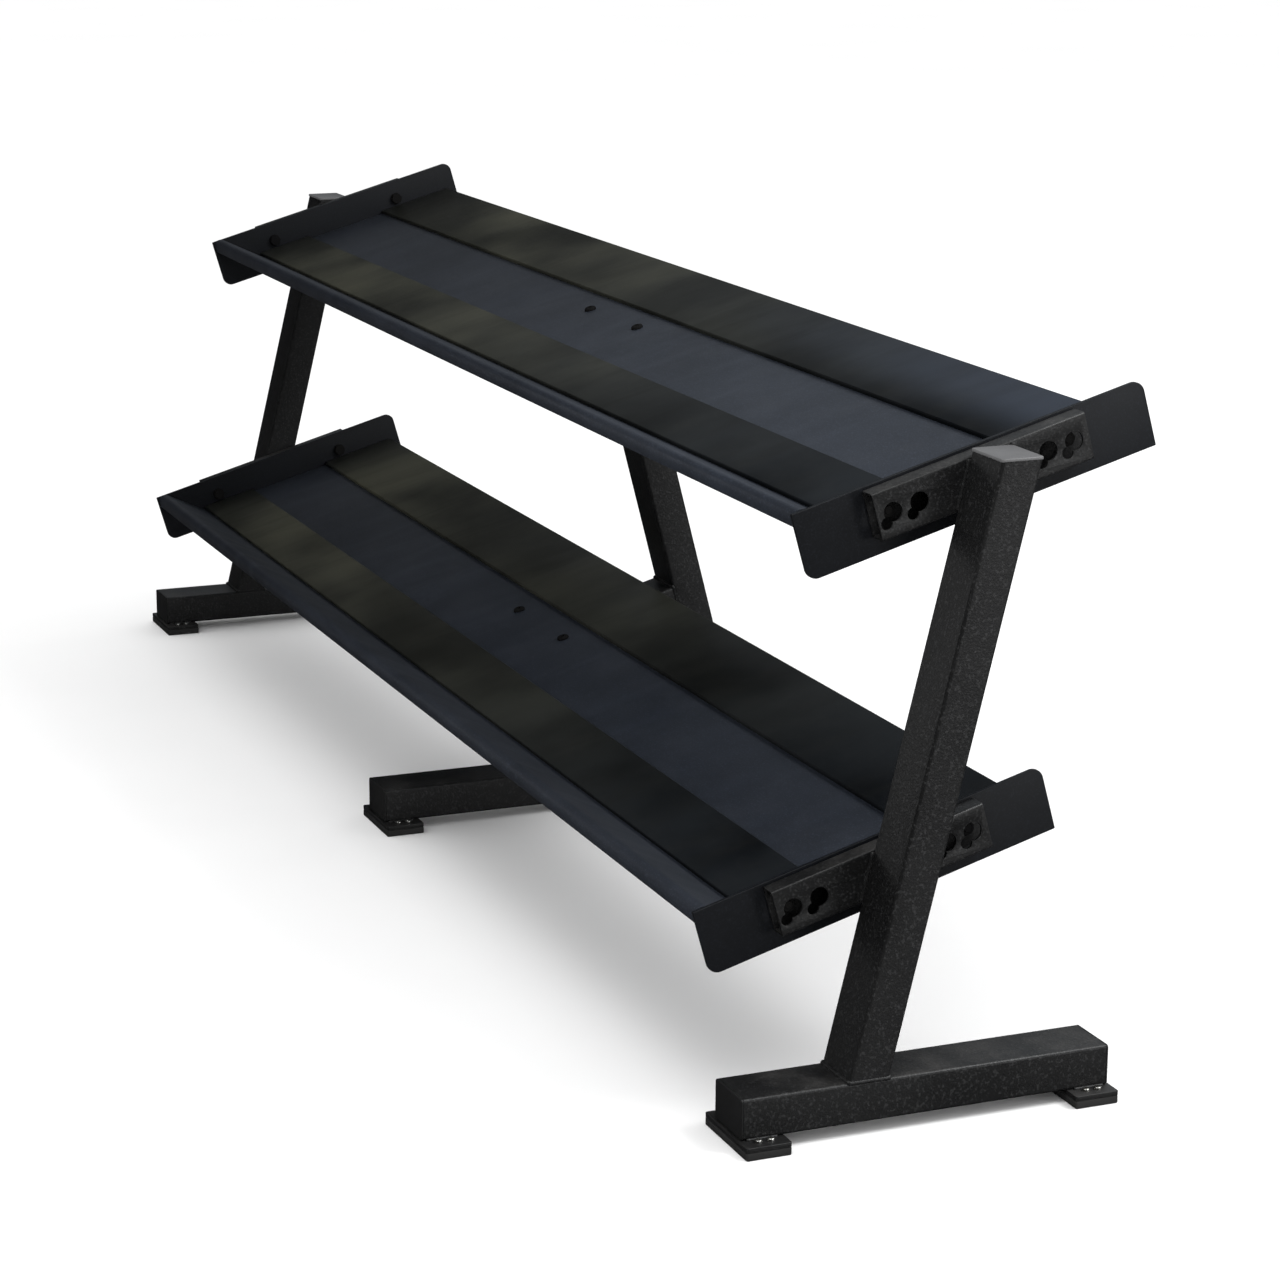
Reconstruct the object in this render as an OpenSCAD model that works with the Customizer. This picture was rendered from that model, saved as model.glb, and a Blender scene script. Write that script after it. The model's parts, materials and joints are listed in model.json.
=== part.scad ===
// Two-tier dumbbell rack: three welded tube frames and two tilted sheet trays.
// Millimetres, +Z up, +X along the rack to the right, -Y to the front.
// The origin is on the floor, below the middle of the whole rack.

/* [Overall] */
// Length over the outer faces of the two end feet
rack_len = 2718; // [2000:1:3200]
// Height of the upright tubes above the floor
upright_top = 793; // [740:1:900]
// Tilt of both trays, low at the front
tray_tilt = 16; // [12:0.5:20]

/* [Tube] */
// Wide side of the frame tube
tube_w = 76.2; // [70:0.1:90]
// Narrow side of the frame tube
tube_h = 50.8; // [45:0.1:60]
// Wall of the frame tube
tube_wall = 3; // [2:0.5:4]
// Outer corner radius of the frame tube
tube_r = 4; // [4:0.5:6]

/* [Feet] */
// Length of each end foot, front to back
foot_len = 484; // [440:1:560]
// Length of the middle foot, front to back
middle_foot_len = 602; // [600:1:620]
// Thickness of the end caps on the foot tubes
foot_cap_t = 3; // [2:0.5:5]
// Width of the plates under the feet, along the rack
foot_plate_w = 122; // [110:1:140]
// Depth of the plates under the feet, front to back
foot_plate_d = 58; // [54:1:80]
// Thickness of the plates under the feet
foot_plate_t = 6; // [4:1:8]
// Thickness of the rubber pads
pad_t = 10; // [6:1:14]

/* [Uprights] */
// Lean of the end uprights, backwards
upright_lean = 13.6; // [12:0.1:15]
// Set-back of the upright's front face from the front of the foot
upright_setback = 138; // [130:1:145]
// Lean of the middle post, forwards
post_lean = 14.7; // [14:0.1:15]
// Thickness of the caps on the uprights
top_cap_t = 4; // [3:0.5:6]

/* [Trays] */
// Depth of the end plates, along the tray
end_plate_d = 472; // [460:1:480]
// Height of the end plates, across the tray
end_plate_h = 84.5; // [80:0.5:90]
// Thickness of the end plates
end_plate_t = 5; // [4:0.5:6]
// Corner radius of the end plates
end_plate_r = 15; // [8:1:20]
// Thickness of the tray sheet
sheet_t = 3; // [2:0.5:4]
// Depth of the tray floor below the top edge of the end plates
floor_drop = 51; // [48:1:54]
// Distance from the front of the end plate to the floor's front bend
floor_front = 78; // [74:1:84]
// Distance from the front of the end plate to the tray's back edge
floor_back = 459; // [450:1:459]
// Thickness of the wear strips
liner_t = 6; // [3:0.5:6]
// Back edge of the front wear strip, from the front of the end plate
front_liner_end = 176; // [160:1:190]
// Front edge of the back wear strip, from the front of the end plate
back_liner_start = 322; // [312:1:340]

/* [Brackets] */
// Length of the brackets, along the tray
bracket_len = 285; // [285:1:300]
// Height of the brackets, across the tray
bracket_h = 59; // [56:1:62]
// Depth of the brackets, from the end plate to the upright
bracket_d = 26.3; // [24:0.1:30]
// Wall of the brackets
bracket_wall = 3; // [2:0.5:4]
// Radius of the round part of a keyhole
keyhole_r = 12; // [10:0.5:13]
// Radius of the narrow part of a keyhole
keyhole_small_r = 7.5; // [6:0.5:8]

/* [Hidden] */

// Colours
frame_black = "#1b1c1e";
cap_black = "#2a2b2d";
tray_blue_black = "#22262d";
liner_black = "#18191a";
rubber_black = "#101010";
zinc = "#b9bcc0";

// Round parts, and the small gap that keeps curved fits apart
$fn = 48;
nudge = 0.01;

// Sides of the rack
left = -1;
right = 1;
front = -1;
back = 1;

// Heights of the feet
foot_bottom = pad_t + foot_plate_t;
foot_top = foot_bottom + tube_h;

// Trays: the top front corner of each pair of end plates, before the rack is centred
upper_corner = [-143.9, 728.4];
lower_corner = [-261.6, 264.2];

// Distance from the front of the rack to its back, and the move that centres it
plate_over = 3;
middle_foot_y = -245;
front_most = lower_corner[0];
tray_back = upper_corner[0] + end_plate_d * cos(tray_tilt) + end_plate_h * sin(tray_tilt);
foot_back = middle_foot_y + middle_foot_len + plate_over;
y_shift = -(front_most + max(tray_back, foot_back)) / 2;

// Stations along the rack
foot_x = rack_len / 2 - tube_w / 2;
upright_inner_x = rack_len / 2 - tube_w;
plate_outer_x = upright_inner_x - bracket_d;
plate_inner_x = plate_outer_x - end_plate_t;
tray_len = 2 * plate_inner_x;

// End uprights and their caps
upright_front_y = -foot_len / 2 + upright_setback;
upright_cut = tube_h / cos(upright_lean);
cap_lip = 1.5;

// Trays across the slope: t runs up the slope, n stands square to it
lip_front = 3;
lip_low = -19;
lip_peak = 10.5;
lip_r = 12;
back_fold = 25;
liner_front_gap = 1.5;
liner_back_gap = 4;
liner_end_gap = 1.5;
liner_edge_r = 2;

// Brackets and their bolts
bracket_start = 91;
bracket_drop = 3;
keyhole_n = -32;
keyhole_in = 21;
keyhole_pitch = 35;
keyhole_slip = 11;
bolt_r = 5;
bolt_hole_r = 5.5;
bolt_head_af = 17;
bolt_head_t = 6.4;
nut_t = 8;
washer_r = 10;
washer_t = 2;
bolt_spare = 4;

// Pad screws
screw_r = 3;
screw_head_r = 5;
screw_head_t = 3.5;
screw_x = 8;
screw_y = 8;

// Saddles and the middle post
saddle_t = 6;
saddle_len = 240;
saddle_d = 76;
saddle_bolt_x = 95;
saddle_mid = 280;
saddle_n = -floor_drop - sheet_t - saddle_t;
post_cut = tube_h / cos(post_lean);
post_line_y = 170;
post_line_z = 551.5;
arm_front = 215;

function post_y(z) = post_line_y - (z - post_line_z) * tan(post_lean);
function place_y(corner, t, n) = corner[0] + t * cos(tray_tilt) - n * sin(tray_tilt);
function place_z(corner, t, n) = corner[1] + t * sin(tray_tilt) + n * cos(tray_tilt);

// Puts the whole rack over the origin
module centred() {
    translate([0, y_shift, 0])
    children();
}

// Puts a shape drawn with Y up the slope and Z square to it at a tray's place
module on_tray(corner) {
    centred()
    translate([0, corner[0], corner[1]])
    rotate([tray_tilt, 0, 0])
    children();
}

// Extrudes a profile drawn as (y, z) along X, centred on x = 0
module along_x(len) {
    translate([-len / 2, 0, 0])
    rotate([90, 0, 90])
    linear_extrude(len)
    children();
}

// Rectangle with round corners, centred
module round_rect(w, h, r) {
    square([w - 2 * r, h], center = true);
    square([w, h - 2 * r], center = true);
    for (x = [-1, 1], y = [-1, 1])
        translate([x * (w / 2 - r), y * (h / 2 - r)])
        circle(r);
}

// Section of the frame tube, wide side along X
module tube_section() {
    difference() {
        round_rect(tube_w, tube_h, tube_r);
        round_rect(tube_w - 2 * tube_wall, tube_h - 2 * tube_wall, tube_r - tube_wall + 0.5);
    }
}

// Tube along +Y from y = 0
module tube_y(len) {
    rotate([-90, 0, 0])
    linear_extrude(len)
    tube_section();
}

// Foot tube lying front to back, between its end caps
module foot(x, y_front, len) {
    color(frame_black)
    centred()
    translate([x, y_front + foot_cap_t, foot_bottom + tube_h / 2])
    tube_y(len - 2 * foot_cap_t);
}

// Flat cap closing one end of a foot tube, with a plug inside the tube
module foot_cap(x, y_face, side) {
    plug_d = 12;
    plug_gap = 0.3;
    inside_w = tube_w - 2 * tube_wall - 2 * plug_gap;
    inside_h = tube_h - 2 * tube_wall - 2 * plug_gap;
    color(cap_black)
    centred()
    translate([x, y_face, foot_bottom + tube_h / 2])
    rotate([side * 90, 0, 0]) {
        linear_extrude(foot_cap_t)
        round_rect(tube_w, tube_h, tube_r);
        linear_extrude(foot_cap_t + plug_d)
        round_rect(inside_w, inside_h, 2);
    }
}

// Steel plate under one end of a foot
module foot_plate(x, y_mid) {
    color(frame_black)
    centred()
    translate([x, y_mid, pad_t])
    difference() {
        linear_extrude(foot_plate_t)
        round_rect(foot_plate_w, foot_plate_d, 3);
        for (sx = [-1, 1], sy = [-1, 1])
            translate([sx * (tube_w / 2 + screw_x), sy * screw_y, -1])
            cylinder(h = foot_plate_t + 2, r = screw_r);
    }
}

// Rubber pad under a plate, with blind holes for its screws
module pad(x, y_mid) {
    hole_depth = 7;
    color(rubber_black)
    centred()
    translate([x, y_mid, 0])
    difference() {
        linear_extrude(pad_t)
        round_rect(foot_plate_w, foot_plate_d, 3);
        for (sx = [-1, 1], sy = [-1, 1])
            translate([sx * (tube_w / 2 + screw_x), sy * screw_y, pad_t - hole_depth])
            cylinder(h = hole_depth + 1, r = screw_r);
    }
}

// The four screws that hold one pad
module pad_screw_set(x, y_mid) {
    screw_len = 12;
    centred()
    translate([x, y_mid, foot_bottom])
    for (sx = [-1, 1], sy = [-1, 1])
        translate([sx * (tube_w / 2 + screw_x), sy * screw_y, 0]) {
            cylinder(h = screw_head_t, r = screw_head_r);
            translate([0, 0, -screw_len])
            cylinder(h = screw_len + nudge, r = screw_r);
        }
}

// Middles of the plates under an end foot and under the middle foot
end_plate_y = foot_len / 2 + plate_over - foot_plate_d / 2;
middle_plate_front_y = middle_foot_y - plate_over + foot_plate_d / 2;
middle_plate_back_y = foot_back - foot_plate_d / 2;
FEET = [[-foot_x, -end_plate_y], [-foot_x, end_plate_y], [0, middle_plate_front_y],
        [0, middle_plate_back_y], [foot_x, -end_plate_y], [foot_x, end_plate_y]];

module pad_screws() {
    color(zinc)
    for (place = FEET)
        pad_screw_set(place[0], place[1]);
}

// Block with level top and bottom that leans along Y: y0 is its front at z0
module leaning_block(w, d, y0, z0, z1, lean) {
    shift = (z1 - z0) * tan(lean);
    along_x(w)
    polygon([[y0, z0], [y0 + d, z0], [y0 + d + shift, z1], [y0 + shift, z1]]);
}

// Leaning tube, cut level at both ends
module leaning_tube(y0, z0, z1, lean) {
    cut = tube_h / cos(lean);
    long = (z1 - z0) / cos(lean) + 2 * tube_h;
    intersection() {
        leaning_block(tube_w, cut, y0, z0, z1, lean);
        translate([0, y0 + cut / 2, z0])
        rotate([-lean, 0, 0])
        translate([0, 0, -tube_h])
        linear_extrude(long)
        tube_section();
    }
}

module upright(side) {
    color(frame_black)
    centred()
    translate([side * foot_x, 0, 0])
    leaning_tube(upright_front_y, foot_top, upright_top, upright_lean);
}

// Cap on an upright: a flat plate with a small overhang
module upright_cap(side) {
    top_y = upright_front_y + (upright_top - foot_top) * tan(upright_lean) + upright_cut / 2;
    color(cap_black)
    centred()
    translate([side * foot_x, top_y, upright_top])
    linear_extrude(top_cap_t)
    round_rect(tube_w, upright_cut + 2 * cap_lip, tube_r);
}

// Middle post: from the foot up to the saddle under the upper tray
module middle_post() {
    long = 760;
    low_y = post_y(foot_top);
    color(frame_black)
    centred()
    difference() {
        intersection() {
            translate([0, low_y + post_cut / 2, foot_top])
            rotate([post_lean, 0, 0])
            translate([0, 0, -tube_h])
            linear_extrude(long)
            tube_section();
            translate([-tube_w, low_y - long, foot_top])
            cube([2 * tube_w, 2 * long, long]);
        }
        translate([0, upper_corner[0], upper_corner[1]])
        rotate([tray_tilt, 0, 0])
        translate([-tube_w, -long, saddle_n])
        cube([2 * tube_w, 3 * long, long]);
    }
}

// Arm under the lower tray, butted against the front of the post
module middle_arm() {
    reach = 600;
    deep = 300;
    color(frame_black)
    centred()
    difference() {
        translate([0, lower_corner[0], lower_corner[1]])
        rotate([tray_tilt, 0, 0])
        translate([0, arm_front, saddle_n - tube_h / 2])
        tube_y(reach - arm_front);
        along_x(2 * tube_w)
        polygon([
            [post_y(0), 0], [post_y(0) + deep, 0],
            [post_y(reach) + deep, reach], [post_y(reach), reach]
        ]);
    }
}

module middle_arm_cap() {
    color(cap_black)
    on_tray(lower_corner)
    translate([0, arm_front, saddle_n - tube_h / 2])
    rotate([90, 0, 0])
    linear_extrude(foot_cap_t)
    round_rect(tube_w, tube_h, tube_r);
}

// Saddle plate under a tray, with its two bolt holes
module saddle(corner) {
    color(frame_black)
    on_tray(corner)
    translate([0, saddle_mid, saddle_n])
    difference() {
        linear_extrude(saddle_t)
        round_rect(saddle_len, saddle_d, 6);
        for (sx = [-1, 1])
            translate([sx * saddle_bolt_x, 0, -1])
            cylinder(h = saddle_t + 2, r = bolt_hole_r);
    }
}

// Points along one side of a bend in the sheet: from a, round p with middle radius r, to b.
// d is how far the side lies to the left of the sheet's middle line.
function bend(a, p, b, r, d) =
    let(
        u = (p - a) / norm(p - a),
        v = (b - p) / norm(b - p),
        turn = atan2(cross(u, v), u * v),
        s = sign(turn),
        mid = p - u * r * tan(abs(turn) / 2) + s * r * [-u[1], u[0]],
        start = atan2(u[1], u[0]) - s * 90,
        steps = ceil(abs(turn) / 6)
    )
    [for (i = [0 : steps]) mid + (r - s * d) * [cos(start + turn * i / steps), sin(start + turn * i / steps)]];

// One side of the folded sheet, d to the left of its middle line
function sheet_side(path, radii, d) =
    let(
        last = len(path) - 1,
        u = (path[1] - path[0]) / norm(path[1] - path[0]),
        v = (path[last] - path[last - 1]) / norm(path[last] - path[last - 1])
    )
    concat(
        [path[0] + d * [-u[1], u[0]]],
        [for (i = [1 : last - 1]) each bend(path[i - 1], path[i], path[i + 1], radii[i], d)],
        [path[last] + d * [-v[1], v[0]]]
    );

function backwards(list) = [for (i = [len(list) - 1 : -1 : 0]) list[i]];

// Section of the tray sheet, drawn as (t, n): front flange, round lip, ramp, floor and back flange
module tray_section() {
    half = sheet_t / 2;
    path = [
        [lip_front + half, lip_low],
        [lip_front + half, lip_peak],
        [floor_front - 1, -floor_drop - half],
        [floor_back - half, -floor_drop - half],
        [floor_back - half, -floor_drop - back_fold]
    ];
    radii = [0, lip_r - half, 5, 4.5, 0];
    polygon(concat(sheet_side(path, radii, half), backwards(sheet_side(path, radii, -half))));
}

module tray(corner) {
    color(tray_blue_black)
    on_tray(corner)
    difference() {
        along_x(tray_len)
        tray_section();
        for (sx = [-1, 1])
            translate([sx * saddle_bolt_x, saddle_mid, -floor_drop - 2 * sheet_t])
            cylinder(h = 3 * sheet_t, r = bolt_hole_r);
    }
}

// Ends of the wear strips next to the bends in the sheet
liner_t0 = floor_front + liner_front_gap;
liner_t1 = floor_back - liner_back_gap;

// Wear strip on the tray floor, from t0 to t1, with rounded long edges
module liner(corner, t0, t1) {
    color(liner_black)
    on_tray(corner)
    along_x(tray_len - 2 * liner_end_gap)
    translate([0, -floor_drop]) {
        square_t = t1 - t0;
        translate([t0, 0])
        square([square_t, liner_t - liner_edge_r]);
        translate([t0 + liner_edge_r, 0])
        square([square_t - 2 * liner_edge_r, liner_t]);
        for (t = [t0 + liner_edge_r, t1 - liner_edge_r])
            translate([t, liner_t - liner_edge_r])
            circle(liner_edge_r);
    }
}

// Where an end plate's bolts sit along the tray
BOLT_T = [bracket_start + keyhole_in, bracket_start + bracket_len - keyhole_in];

// Outline of an end plate: two square corners and two round ones
module end_plate_outline() {
    difference() {
        translate([0, -end_plate_h])
        square([end_plate_d, end_plate_h]);
        translate([-nudge, -end_plate_h - nudge])
        square(end_plate_r + nudge);
        translate([end_plate_d - end_plate_r, -end_plate_r])
        square(end_plate_r + nudge);
    }
    translate([end_plate_r, end_plate_r - end_plate_h])
    circle(end_plate_r);
    translate([end_plate_d - end_plate_r, -end_plate_r])
    circle(end_plate_r);
}

module end_plate(corner, side) {
    mid_x = side * (plate_inner_x + end_plate_t / 2);
    color(tray_blue_black)
    on_tray(corner)
    translate([mid_x, 0, 0])
    difference() {
        along_x(end_plate_t)
        end_plate_outline();
        for (t = BOLT_T)
            translate([0, t, keyhole_n])
            rotate([0, 90, 0])
            cylinder(h = 3 * end_plate_t, r = bolt_hole_r, center = true);
    }
}

// Box bracket with open ends: keyholes face the upright, bolt holes face the tray
module bracket(corner, side) {
    mid_x = side * (plate_outer_x + bracket_d / 2);
    mid_n = -bracket_drop - bracket_h / 2;
    outer_x = side * (plate_outer_x + bracket_d - bracket_wall / 2);
    inner_x = side * (plate_outer_x + bracket_wall / 2);
    color(frame_black)
    on_tray(corner)
    difference() {
        translate([mid_x, bracket_start, mid_n])
        rotate([-90, 0, 0])
        linear_extrude(bracket_len)
        difference() {
            round_rect(bracket_d, bracket_h, bracket_wall);
            square([bracket_d - 2 * bracket_wall, bracket_h - 2 * bracket_wall], center = true);
        }
        for (end = [0, 1], step = [0, 1]) {
            inset = keyhole_in + step * keyhole_pitch;
            t = bracket_start + (end == 0 ? inset : bracket_len - inset);
            translate([outer_x, t, keyhole_n])
            rotate([0, 90, 0])
            cylinder(h = 2 * bracket_wall, r = keyhole_r, center = true);
            translate([outer_x, t - keyhole_slip, keyhole_n - keyhole_slip])
            rotate([0, 90, 0])
            cylinder(h = 2 * bracket_wall, r = keyhole_small_r, center = true);
        }
        for (t = BOLT_T)
            translate([inner_x, t, keyhole_n])
            rotate([0, 90, 0])
            cylinder(h = 2 * bracket_wall, r = bolt_hole_r, center = true);
    }
}

// Puts a fastener drawn along +Z on the inner face of an end plate, pointing out to the bracket
module at_end_plate_bolt(corner, side, t) {
    on_tray(corner)
    translate([side * plate_inner_x, t, keyhole_n])
    rotate([0, side * 90, 0])
    children();
}

module each_end_plate_bolt() {
    for (corner = [upper_corner, lower_corner], side = [left, right], t = BOLT_T)
        at_end_plate_bolt(corner, side, t)
        children();
}

module hexagon(across_flats, h) {
    cylinder(h = h, r = across_flats / 2 / cos(30), $fn = 6);
}

module ring(outer_r, inner_r, h) {
    difference() {
        cylinder(h = h, r = outer_r);
        translate([0, 0, -1])
        cylinder(h = h + 2, r = inner_r);
    }
}

// Hexagon bolt: the underside of its head is at z = 0
module hex_bolt(shank) {
    translate([0, 0, -bolt_head_t])
    hexagon(bolt_head_af, bolt_head_t);
    cylinder(h = shank, r = bolt_r);
}

module end_plate_bolts() {
    grip = end_plate_t + bracket_wall + 2 * washer_t + nut_t;
    color(zinc)
    each_end_plate_bolt()
    translate([0, 0, -washer_t])
    hex_bolt(grip + bolt_spare / 2);
}

module end_plate_washers() {
    color(zinc)
    each_end_plate_bolt() {
        translate([0, 0, -washer_t])
        ring(washer_r, bolt_r, washer_t);
        translate([0, 0, end_plate_t + bracket_wall])
        ring(washer_r, bolt_r, washer_t);
    }
}

module end_plate_nuts() {
    color(zinc)
    each_end_plate_bolt()
    translate([0, 0, end_plate_t + bracket_wall + washer_t])
    difference() {
        hexagon(bolt_head_af, nut_t);
        translate([0, 0, -1])
        cylinder(h = nut_t + 2, r = bolt_r);
    }
}

// Puts a fastener drawn along +Z on the tray floor at a saddle bolt, pointing down
module each_saddle_bolt() {
    for (corner = [upper_corner, lower_corner], sx = [-1, 1])
        on_tray(corner)
        translate([sx * saddle_bolt_x, saddle_mid, -floor_drop])
        rotate([180, 0, 0])
        children();
}

module saddle_bolts() {
    dome_r = 10.5;
    dome_t = 5;
    socket_r = 3.46;
    shank = sheet_t + saddle_t + washer_t + nut_t + bolt_spare;
    color(frame_black)
    each_saddle_bolt() {
        difference() {
            translate([0, 0, -dome_t])
            rotate_extrude()
            intersection() {
                translate([0, dome_r])
                circle(dome_r);
                square([dome_r, dome_t]);
            }
            translate([0, 0, -dome_t - 1])
            cylinder(h = 4, r = socket_r, $fn = 6);
        }
        cylinder(h = shank, r = bolt_r);
    }
}

module saddle_washers() {
    color(zinc)
    each_saddle_bolt()
    translate([0, 0, sheet_t + saddle_t])
    ring(washer_r, bolt_r, washer_t);
}

module saddle_nuts() {
    color(zinc)
    each_saddle_bolt()
    translate([0, 0, sheet_t + saddle_t + washer_t])
    difference() {
        hexagon(bolt_head_af, nut_t);
        translate([0, 0, -1])
        cylinder(h = nut_t + 2, r = bolt_r);
    }
}

// Front faces of the end feet
end_foot_y = -foot_len / 2;

foot(-foot_x, end_foot_y, foot_len);  // left_foot
foot(0, middle_foot_y, middle_foot_len);  // middle_foot
foot(foot_x, end_foot_y, foot_len);  // right_foot
foot_cap(-foot_x, end_foot_y, front);  // left_foot_front_cap
foot_cap(-foot_x, -end_foot_y, back);  // left_foot_back_cap
foot_cap(0, middle_foot_y, front);  // middle_foot_front_cap
foot_cap(0, middle_foot_y + middle_foot_len, back);  // middle_foot_back_cap
foot_cap(foot_x, end_foot_y, front);  // right_foot_front_cap
foot_cap(foot_x, -end_foot_y, back);  // right_foot_back_cap
upright(left);  // left_upright
upright(right);  // right_upright
upright_cap(left);  // left_upright_cap
upright_cap(right);  // right_upright_cap
middle_post();
middle_arm();
middle_arm_cap();
saddle(upper_corner);  // upper_saddle
saddle(lower_corner);  // lower_saddle
foot_plate(FEET[0][0], FEET[0][1]);  // left_front_foot_plate
foot_plate(FEET[1][0], FEET[1][1]);  // left_back_foot_plate
foot_plate(FEET[2][0], FEET[2][1]);  // middle_front_foot_plate
foot_plate(FEET[3][0], FEET[3][1]);  // middle_back_foot_plate
foot_plate(FEET[4][0], FEET[4][1]);  // right_front_foot_plate
foot_plate(FEET[5][0], FEET[5][1]);  // right_back_foot_plate
pad(FEET[0][0], FEET[0][1]);  // left_front_pad
pad(FEET[1][0], FEET[1][1]);  // left_back_pad
pad(FEET[2][0], FEET[2][1]);  // middle_front_pad
pad(FEET[3][0], FEET[3][1]);  // middle_back_pad
pad(FEET[4][0], FEET[4][1]);  // right_front_pad
pad(FEET[5][0], FEET[5][1]);  // right_back_pad
pad_screws();
tray(upper_corner);  // upper_tray
tray(lower_corner);  // lower_tray
liner(upper_corner, liner_t0, front_liner_end);  // upper_front_liner
liner(upper_corner, back_liner_start, liner_t1);  // upper_back_liner
liner(lower_corner, liner_t0, front_liner_end);  // lower_front_liner
liner(lower_corner, back_liner_start, liner_t1);  // lower_back_liner
end_plate(upper_corner, left);  // upper_left_end_plate
end_plate(upper_corner, right);  // upper_right_end_plate
end_plate(lower_corner, left);  // lower_left_end_plate
end_plate(lower_corner, right);  // lower_right_end_plate
bracket(upper_corner, left);  // upper_left_bracket
bracket(upper_corner, right);  // upper_right_bracket
bracket(lower_corner, left);  // lower_left_bracket
bracket(lower_corner, right);  // lower_right_bracket
end_plate_bolts();
end_plate_washers();
end_plate_nuts();
saddle_bolts();
saddle_washers();
saddle_nuts();
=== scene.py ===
import json
import math

import bmesh
import bpy
from mathutils import Matrix, Vector


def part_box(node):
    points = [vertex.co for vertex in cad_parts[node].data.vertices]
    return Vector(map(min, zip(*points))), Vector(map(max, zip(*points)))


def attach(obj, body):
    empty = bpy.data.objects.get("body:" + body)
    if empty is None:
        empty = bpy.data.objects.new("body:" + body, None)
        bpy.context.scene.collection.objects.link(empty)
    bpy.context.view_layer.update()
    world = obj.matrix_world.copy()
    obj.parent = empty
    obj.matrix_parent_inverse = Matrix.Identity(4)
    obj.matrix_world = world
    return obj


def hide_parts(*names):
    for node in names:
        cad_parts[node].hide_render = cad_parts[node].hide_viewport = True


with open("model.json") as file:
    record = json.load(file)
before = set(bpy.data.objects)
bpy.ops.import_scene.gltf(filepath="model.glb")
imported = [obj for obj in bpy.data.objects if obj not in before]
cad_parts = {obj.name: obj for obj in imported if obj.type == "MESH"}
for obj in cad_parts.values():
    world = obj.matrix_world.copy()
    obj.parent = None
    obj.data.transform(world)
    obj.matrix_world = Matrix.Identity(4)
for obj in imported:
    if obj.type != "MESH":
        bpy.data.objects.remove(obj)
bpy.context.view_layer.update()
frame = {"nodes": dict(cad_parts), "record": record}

# Sizes in metres, in the frame's axes: +X along the rack, -Y to the front, +Z up.
TUBE_CORNER = 0.004
SHEET = 0.003
LIP_RADIUS = 0.0105
LIP_PEAK = 0.011  # height above the lip where its two faces would meet if the fold were sharp
FLOOR_BEND = 0.005
BACK_BEND = 0.0045
LINER_GAP = 0.0015
PLATE_CORNER = 0.015
BRACKET_WALL = 0.003
KEYHOLE = 0.012
KEYHOLE_NECK = 0.0075
KEYHOLE_SLIP = 0.011
KEYHOLE_PITCH = 0.035
BOLT = 0.005
BOLT_HEAD = 0.0064
SPANNER = 0.017
THREAD_PITCH = 0.0015
WELD = 0.0033
WELD_INSET = 0.002
RIPPLE = 0.0034
SPARE = 0.08  # extra length on a tube, cut off later


# ---- Working on one piece at a time ----

def only(piece):
    """Selects one piece and nothing else."""
    bpy.ops.object.select_all(action="DESELECT")
    piece.select_set(True)
    bpy.context.view_layer.objects.active = piece


def start(add, name, **how):
    """Adds a primitive on its own and names it."""
    bpy.ops.object.select_all(action="DESELECT")
    add(**how)
    piece = bpy.context.object
    piece.name = name
    piece.data.name = name
    return piece


def edit(piece):
    only(piece)
    bpy.ops.object.mode_set(mode="EDIT")


def leave():
    bpy.ops.object.mode_set(mode="OBJECT")


def pick(piece, kind, wanted):
    """In edit mode, selects the faces, edges or vertices that wanted() says yes to."""
    bpy.ops.mesh.select_mode(type=kind)
    bpy.ops.mesh.select_all(action="DESELECT")
    mesh = bmesh.from_edit_mesh(piece.data)
    parts = {"VERT": mesh.verts, "EDGE": mesh.edges, "FACE": mesh.faces}[kind]
    for part in parts:
        if wanted(part):
            part.select_set(True)
    mesh.select_flush_mode()
    bmesh.update_edit_mesh(piece.data)


def round_off(piece, wanted, width, segments):
    """Bevels the edges that wanted() says yes to."""
    pick(piece, "EDGE", wanted)
    bpy.ops.mesh.bevel(offset=width, segments=segments, profile=0.5, affect="EDGES")


def middle(part):
    """Middle of a face or an edge."""
    points = [v.co for v in part.verts]
    return sum(points, Vector()) / len(points)


def along(axis):
    """Says yes to edges parallel to an axis."""
    def test(edge):
        way = edge.verts[1].co - edge.verts[0].co
        return abs(way.normalized()[axis]) > 0.999
    return test


def rim(axis, limit=0.9):
    """Says yes to edges between a face square to the axis and one beside it."""
    def test(edge):
        if len(edge.link_faces) != 2:
            return False
        ends = [abs(face.normal[axis]) > limit for face in edge.link_faces]
        return ends[0] != ends[1]
    return test


def set_down(piece, matrix):
    """Puts a piece in place and makes the place part of its mesh."""
    piece.matrix_world = matrix
    only(piece)
    bpy.ops.object.transform_apply(location=True, rotation=True, scale=True)
    return piece


def copy_of(piece, name):
    """A second piece with its own mesh."""
    other = piece.copy()
    other.data = piece.data.copy()
    other.name = name
    other.data.name = name
    bpy.context.collection.objects.link(other)
    return other


def discard(piece):
    bpy.data.objects.remove(piece, do_unlink=True)


def joined(name, pieces):
    """Makes one piece of several."""
    only(pieces[0])
    for piece in pieces:
        piece.select_set(True)
    bpy.ops.object.join()
    pieces[0].name = name
    pieces[0].data.name = name
    return pieces[0]


def modify(piece, kind, **settings):
    """Adds a modifier and applies it at once."""
    modifier = piece.modifiers.new(kind.title(), kind)
    for key, value in settings.items():
        setattr(modifier, key, value)
    only(piece)
    bpy.ops.object.modifier_apply(modifier=modifier.name)


def cut(piece, cutter, operation="DIFFERENCE"):
    """Cuts a piece with another, which is used up."""
    modify(piece, "BOOLEAN", object=cutter, operation=operation, solver="EXACT")
    discard(cutter)


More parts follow.
